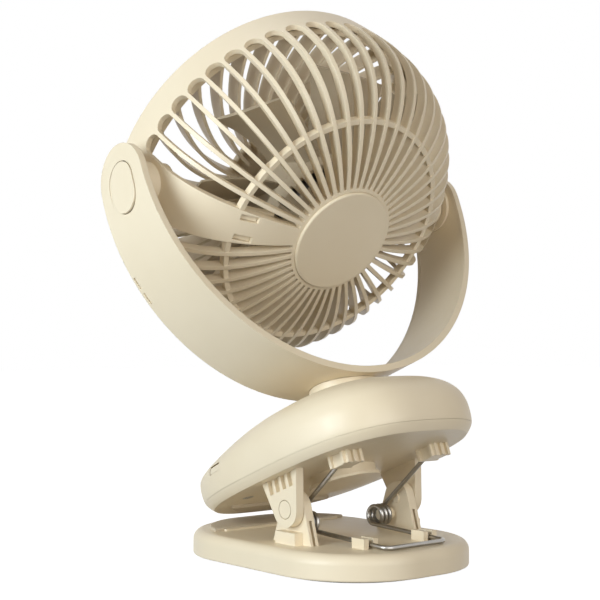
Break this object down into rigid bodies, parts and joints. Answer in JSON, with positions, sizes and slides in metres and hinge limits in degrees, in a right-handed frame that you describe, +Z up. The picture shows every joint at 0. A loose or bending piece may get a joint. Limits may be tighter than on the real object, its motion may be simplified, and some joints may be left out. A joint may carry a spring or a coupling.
{
  "type": "clip-on rechargeable fan",
  "caption": "Cream plastic clip-on fan: a round slotted head tilts between the arms of a ring yoke that swivels on the upper jaw of a sprung clip, whose lower jaw is the base.",
  "frame": {"origin": "centre of the base's outline, on the face it stands on", "axes": "+Z up, +X along the clip's hinge, -Y towards the mouth of the clip and the air flow"},
  "size_m": [0.1736, 0.1436, 0.2264],
  "materials": {
    "cream_plastic": "satin moulded",
    "beige_plastic": "satin moulded",
    "cream_rubber": "matte",
    "dark_rubber": "matte",
    "steel_wire": "drawn and plated",
    "steel": "zinc plated",
    "turned_brass": "turned",
    "motor_iron": "laminated",
    "cell_sleeve": "film sleeve over a can",
    "board_green": "solder mask",
    "black_plastic": "matt",
    "milky_window": "diffusing",
    "cable_grey": "satin"
  },
  "bodies": {
    "base": {"base_shell": "cream_plastic", "base_plate": "beige_plastic", "base_sole": "dark_rubber", "base_screws": "steel", "lower_pad": "cream_rubber", "clamp_spring": "steel_wire"},
    "upper_jaw": {"jaw_bottom_shell": "cream_plastic", "jaw_top_shell": "cream_plastic", "upper_pad": "cream_rubber", "hinge_pins": "cream_plastic", "jaw_screws": "steel", "battery_cell": "cell_sleeve", "battery_cradle": "beige_plastic", "control_board": "board_green", "tact_switch": "black_plastic", "usb_socket": "steel", "status_window": "milky_window"},
    "button": {"speed_button": "cream_plastic"},
    "yoke": {"yoke_shell": "cream_plastic", "yoke_liner": "cream_plastic", "yoke_cable": "cable_grey", "swivel_disc": "cream_plastic", "swivel_post": "steel", "swivel_washer": "steel", "swivel_nut": "steel", "pivot_bushes": "turned_brass", "pivot_caps": "cream_plastic"},
    "fan_head": {"rear_grille": "cream_plastic", "hub_disc": "cream_plastic", "head_trunnions": "cream_plastic", "pivot_clips": "steel", "cable_cover": "cream_plastic", "head_cable": "cable_grey", "motor_housing": "beige_plastic", "motor_screws": "steel", "motor_bearings": "steel", "motor_stator": "motor_iron", "front_grille": "cream_plastic", "front_cap": "cream_plastic"},
    "rotor": {"rotor_can": "steel", "rotor_magnet": "motor_iron", "motor_shaft": "steel", "impeller_nut": "steel", "impeller": "beige_plastic"}
  },
  "joints": [
    {"name": "clip_open", "type": "hinge", "parent": "base", "child": "upper_jaw", "pos_m": [0, 0.0138, 0.0244], "axis": [-1, 0, 0], "range_deg": [0, 30], "stiffness_Nm_per_rad": 1.4, "springref_deg": -28.65, "deforming": ["clamp_spring"]},
    {"name": "button_press", "type": "slide", "parent": "upper_jaw", "child": "button", "axis": [0, 0.36, -0.933], "range_m": [0, 0.0006], "stiffness_N_per_m": 900, "springref_m": -0.0008},
    {"name": "yoke_swivel", "type": "hinge", "parent": "upper_jaw", "child": "yoke", "pos_m": [0, -0.0216, 0.1517], "axis": [0, -0.36, 0.933], "range_deg": [-175, 175]},
    {"name": "head_tilt", "type": "hinge", "parent": "yoke", "child": "fan_head", "pos_m": [0, -0.0216, 0.1517], "axis": [1, 0, 0], "range_deg": [-34.8, 145.2]},
    {"name": "blade_spin", "type": "hinge", "parent": "fan_head", "child": "rotor", "pos_m": [0, -0.0216, 0.1517], "axis": [0, -0.8281, 0.5606], "continuous": true}
  ]
}
